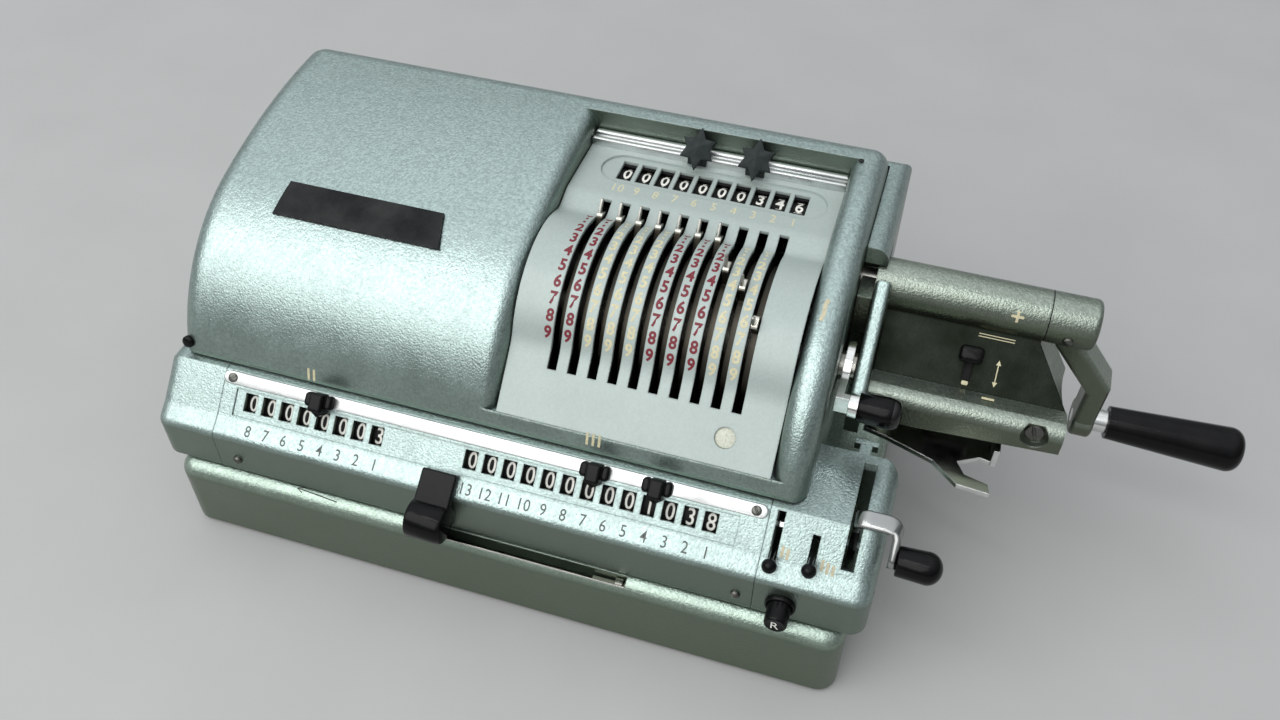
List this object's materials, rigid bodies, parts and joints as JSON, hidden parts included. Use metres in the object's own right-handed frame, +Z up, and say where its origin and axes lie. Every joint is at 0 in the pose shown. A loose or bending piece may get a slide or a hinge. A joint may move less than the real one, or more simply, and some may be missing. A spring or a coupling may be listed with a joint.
{
  "type": "mechanical adding machine",
  "caption": "Hand-cranked pinwheel adding machine: arched casing with slotted setting levers and check dials, sliding register carriage with dials, clearing levers and a side crank.",
  "frame": {"origin": "on the table under the middle of the machine's overall box", "axes": "+X towards the crank, along the rows of digits; +Y away from the operator; +Z up"},
  "size_m": [0.3728, 0.1608, 0.124],
  "materials": {
    "hammertone": "blue-green hammertone enamel on pressed sheet, worn along the edges",
    "plate_paint": "satin grey-green paint on stamped sheet",
    "housing_paint": "grey-green hammertone enamel on a casting",
    "black_plastic": "glossy black moulded plastic",
    "bright_metal": "bright plated steel",
    "steel": "oiled machined steel",
    "rail_aluminium": "drawn aluminium bar",
    "dial_black": "matt black number wheel with white figures",
    "foot_rubber": "black rubber"
  },
  "bodies": {
    "frame": {"base_tray": "hammertone", "bottom_plate": "steel", "rubber_feet": "foot_rubber", "frame_plates": "steel", "tie_rods": "steel", "top_cover": "hammertone", "setting_plate": "plate_paint", "rear_cover": "hammertone", "gear_guard": "hammertone", "crank_housing": "housing_paint", "upper_rail": "rail_aluminium", "check_shaft": "steel", "guide_rail": "steel"},
    "crank": {"crank_shaft": "steel", "crank_arm": "housing_paint", "grip_spindle": "bright_metal"},
    "crank_grip": {"crank_grip": "black_plastic"},
    "drum": {"drum_shaft": "steel", "pinwheels": "steel"},
    "idler_gear": {"idler_gear": "steel"},
    "carriage": {"carriage_panel": "hammertone", "carriage_left_end": "hammertone", "carriage_right_end": "hammertone", "carriage_rail": "rail_aluminium", "register_shaft": "steel"},
    "result_dials": {"result_dials": "dial_black"},
    "counter_dials": {"counter_dials": "dial_black"},
    "counter_selector": {"counter_selector": "bright_metal"},
    "result_selector": {"result_selector": "bright_metal"},
    "register_clear_lever": {"register_clear_lever": "bright_metal"},
    "setting_clear_lever": {"setting_clear_lever": "bright_metal"},
    "transfer_button": {"transfer_button": "black_plastic"},
    "shift_knob": {"shift_knob": "black_plastic"},
    "direction_knob": {"direction_knob": "black_plastic"},
    "step_lever": {"step_lever": "bright_metal"},
    "setting_lever_01": {"setting_lever_01": "bright_metal"},
    "check_dial_01": {"check_dial_01": "dial_black"},
    "setting_lever_02": {"setting_lever_02": "bright_metal"},
    "check_dial_02": {"check_dial_02": "dial_black"},
    "setting_lever_03": {"setting_lever_03": "bright_metal"},
    "check_dial_03": {"check_dial_03": "dial_black"},
    "setting_lever_04": {"setting_lever_04": "bright_metal"},
    "check_dial_04": {"check_dial_04": "dial_black"},
    "setting_lever_05": {"setting_lever_05": "bright_metal"},
    "check_dial_05": {"check_dial_05": "dial_black"},
    "setting_lever_06": {"setting_lever_06": "bright_metal"},
    "check_dial_06": {"check_dial_06": "dial_black"},
    "setting_lever_07": {"setting_lever_07": "bright_metal"},
    "check_dial_07": {"check_dial_07": "dial_black"},
    "setting_lever_08": {"setting_lever_08": "bright_metal"},
    "check_dial_08": {"check_dial_08": "dial_black"},
    "setting_lever_09": {"setting_lever_09": "bright_metal"},
    "check_dial_09": {"check_dial_09": "dial_black"},
    "setting_lever_10": {"setting_lever_10": "bright_metal"},
    "check_dial_10": {"check_dial_10": "dial_black"},
    "carriage_rider_1": {"carriage_rider_1": "black_plastic"},
    "carriage_rider_2": {"carriage_rider_2": "black_plastic"},
    "carriage_rider_3": {"carriage_rider_3": "black_plastic"},
    "upper_rider_1": {"upper_rider_1": "black_plastic"},
    "upper_rider_2": {"upper_rider_2": "black_plastic"}
  },
  "joints": [
    {"name": "crank_turn", "type": "hinge", "parent": "frame", "child": "crank", "pos_m": [0.07733, 0.03042, 0.09774], "axis": [1, 0, 0], "continuous": true},
    {"name": "carriage_shift", "type": "slide", "parent": "frame", "child": "carriage", "axis": [1, 0, 0], "range_m": [0, 0.049]},
    {"name": "setting_lever_01", "type": "hinge", "parent": "drum", "child": "setting_lever_01", "pos_m": [0.01792, 0.0029, 0.0814], "axis": [1, 0, 0], "range_deg": [-60.6, 30.3]},
    {"name": "setting_lever_02", "type": "hinge", "parent": "drum", "child": "setting_lever_02", "pos_m": [0.01093, 0.0029, 0.0814], "axis": [1, 0, 0], "range_deg": [-40.4, 50.5]},
    {"name": "setting_lever_03", "type": "hinge", "parent": "drum", "child": "setting_lever_03", "pos_m": [0.00392, 0.0029, 0.0814], "axis": [1, 0, 0], "range_deg": [-30.3, 60.6]},
    {"name": "setting_lever_04", "type": "hinge", "parent": "drum", "child": "setting_lever_04", "pos_m": [-0.00308, 0.0029, 0.0814], "axis": [1, 0, 0], "range_deg": [0, 90.9]},
    {"name": "setting_lever_05", "type": "hinge", "parent": "drum", "child": "setting_lever_05", "pos_m": [-0.01008, 0.0029, 0.0814], "axis": [1, 0, 0], "range_deg": [0, 90.9]},
    {"name": "setting_lever_06", "type": "hinge", "parent": "drum", "child": "setting_lever_06", "pos_m": [-0.01707, 0.0029, 0.0814], "axis": [1, 0, 0], "range_deg": [0, 90.9]},
    {"name": "setting_lever_07", "type": "hinge", "parent": "drum", "child": "setting_lever_07", "pos_m": [-0.02407, 0.0029, 0.0814], "axis": [1, 0, 0], "range_deg": [0, 90.9]},
    {"name": "setting_lever_08", "type": "hinge", "parent": "drum", "child": "setting_lever_08", "pos_m": [-0.03107, 0.0029, 0.0814], "axis": [1, 0, 0], "range_deg": [0, 90.9]},
    {"name": "setting_lever_09", "type": "hinge", "parent": "drum", "child": "setting_lever_09", "pos_m": [-0.03807, 0.0029, 0.0814], "axis": [1, 0, 0], "range_deg": [0, 90.9]},
    {"name": "setting_lever_10", "type": "hinge", "parent": "drum", "child": "setting_lever_10", "pos_m": [-0.04507, 0.0029, 0.0814], "axis": [1, 0, 0], "range_deg": [0, 90.9]},
    {"name": "setting_clear", "type": "hinge", "parent": "frame", "child": "setting_clear_lever", "pos_m": [0.04732, 0.0029, 0.0814], "axis": [-1, 0, 0], "range_deg": [0, 60], "stiffness_Nm_per_rad": 0.02, "springref_deg": -17.19},
    {"name": "register_clear", "type": "hinge", "parent": "carriage", "child": "register_clear_lever", "pos_m": [0.06273, -0.0368, 0.0378], "axis": [1, 0, 0], "range_deg": [-38, 22], "stiffness_Nm_per_rad": 0.2},
    {"name": "counter_selector", "type": "hinge", "parent": "carriage", "child": "counter_selector", "pos_m": [0.03902, -0.04437, 0.04961], "axis": [-1, 0, 0], "range_deg": [0, 38]},
    {"name": "result_selector", "type": "hinge", "parent": "carriage", "child": "result_selector", "pos_m": [0.05133, -0.04437, 0.04961], "axis": [-1, 0, 0], "range_deg": [0, 20]},
    {"name": "transfer_button", "type": "slide", "parent": "carriage", "child": "transfer_button", "axis": [0, 1, 0], "range_m": [0, 0.005], "stiffness_N_per_m": 300, "springref_m": -0.002},
    {"name": "shift_knob", "type": "slide", "parent": "carriage", "child": "shift_knob", "axis": [0, 0, 1], "range_m": [0, 0.003], "stiffness_N_per_m": 400, "springref_m": -0.002},
    {"name": "direction_knob", "type": "slide", "parent": "frame", "child": "direction_knob", "axis": [0, -0.7089, -0.7053], "range_m": [0, 0.007]},
    {"name": "step_lever", "type": "hinge", "parent": "frame", "child": "step_lever", "pos_m": [0.06333, 0.0069, 0.054], "axis": [0, 0, 1], "range_deg": [0, 6], "stiffness_Nm_per_rad": 0.05, "springref_deg": -5.73},
    {"name": "grip_spin", "type": "hinge", "parent": "crank", "child": "crank_grip", "pos_m": [0.14037, 0.03662, 0.04863], "axis": [1, 0, 0], "continuous": true},
    {"name": "carriage_rider_1", "type": "slide", "parent": "carriage", "child": "carriage_rider_1", "axis": [1, 0, 0], "range_m": [-0.028, 0.034]},
    {"name": "carriage_rider_2", "type": "slide", "parent": "carriage", "child": "carriage_rider_2", "axis": [1, 0, 0], "range_m": [-0.042, 0.006]},
    {"name": "carriage_rider_3", "type": "slide", "parent": "carriage", "child": "carriage_rider_3", "axis": [1, 0, 0], "range_m": [-0.006, 0.024]},
    {"name": "upper_rider_1", "type": "slide", "parent": "frame", "child": "upper_rider_1", "axis": [1, 0, 0], "range_m": [-0.03, 0.004]},
    {"name": "upper_rider_2", "type": "slide", "parent": "frame", "child": "upper_rider_2", "axis": [1, 0, 0], "range_m": [-0.004, 0.024]},
    {"name": "result_dials_turn", "type": "hinge", "parent": "carriage", "child": "result_dials", "pos_m": [0.01733, -0.04868, 0.04968], "axis": [1, 0, 0], "continuous": true},
    {"name": "counter_dials_turn", "type": "hinge", "parent": "carriage", "child": "counter_dials", "pos_m": [0.01733, -0.04868, 0.04968], "axis": [1, 0, 0], "continuous": true},
    {"name": "drum_turn", "type": "hinge", "parent": "frame", "child": "drum", "pos_m": [0.01733, 0.0029, 0.0814], "axis": [1, 0, 0], "continuous": true},
    {"name": "idler_turn", "type": "hinge", "parent": "frame", "child": "idler_gear", "pos_m": [0.02593, 0.01666, 0.08957], "axis": [1, 0, 0], "continuous": true},
    {"name": "check_dial_01", "type": "hinge", "parent": "frame", "child": "check_dial_01", "pos_m": [0.01922, 0.0437, 0.102], "axis": [1, 0, 0], "range_deg": [-108.5, 216.5]},
    {"name": "check_dial_02", "type": "hinge", "parent": "frame", "child": "check_dial_02", "pos_m": [0.01222, 0.0437, 0.102], "axis": [1, 0, 0], "range_deg": [-180.5, 144.5]},
    {"name": "check_dial_03", "type": "hinge", "parent": "frame", "child": "check_dial_03", "pos_m": [0.00522, 0.0437, 0.102], "axis": [1, 0, 0], "range_deg": [-216.5, 108.5]},
    {"name": "check_dial_04", "type": "hinge", "parent": "frame", "child": "check_dial_04", "pos_m": [-0.00178, 0.0437, 0.102], "axis": [1, 0, 0], "range_deg": [-324.5, 0.5]},
    {"name": "check_dial_05", "type": "hinge", "parent": "frame", "child": "check_dial_05", "pos_m": [-0.00877, 0.0437, 0.102], "axis": [1, 0, 0], "range_deg": [-324.5, 0.5]},
    {"name": "check_dial_06", "type": "hinge", "parent": "frame", "child": "check_dial_06", "pos_m": [-0.01578, 0.0437, 0.102], "axis": [1, 0, 0], "range_deg": [-324.5, 0.5]},
    {"name": "check_dial_07", "type": "hinge", "parent": "frame", "child": "check_dial_07", "pos_m": [-0.02278, 0.0437, 0.102], "axis": [1, 0, 0], "range_deg": [-324.5, 0.5]},
    {"name": "check_dial_08", "type": "hinge", "parent": "frame", "child": "check_dial_08", "pos_m": [-0.02977, 0.0437, 0.102], "axis": [1, 0, 0], "range_deg": [-324.5, 0.5]},
    {"name": "check_dial_09", "type": "hinge", "parent": "frame", "child": "check_dial_09", "pos_m": [-0.03678, 0.0437, 0.102], "axis": [1, 0, 0], "range_deg": [-324.5, 0.5]},
    {"name": "check_dial_10", "type": "hinge", "parent": "frame", "child": "check_dial_10", "pos_m": [-0.04378, 0.0437, 0.102], "axis": [1, 0, 0], "range_deg": [-324.5, 0.5]}
  ],
  "couplings": [
    {"joint": "drum_turn", "follows": "crank_turn", "ratio": 1},
    {"joint": "idler_turn", "follows": "crank_turn", "ratio": -1},
    {"joint": "check_dial_01", "follows": "setting_lever_01", "ratio": -3.5644},
    {"joint": "check_dial_02", "follows": "setting_lever_02", "ratio": -3.5644},
    {"joint": "check_dial_03", "follows": "setting_lever_03", "ratio": -3.5644},
    {"joint": "check_dial_04", "follows": "setting_lever_04", "ratio": -3.5644},
    {"joint": "check_dial_05", "follows": "setting_lever_05", "ratio": -3.5644},
    {"joint": "check_dial_06", "follows": "setting_lever_06", "ratio": -3.5644},
    {"joint": "check_dial_07", "follows": "setting_lever_07", "ratio": -3.5644},
    {"joint": "check_dial_08", "follows": "setting_lever_08", "ratio": -3.5644},
    {"joint": "check_dial_09", "follows": "setting_lever_09", "ratio": -3.5644},
    {"joint": "check_dial_10", "follows": "setting_lever_10", "ratio": -3.5644}
  ]
}
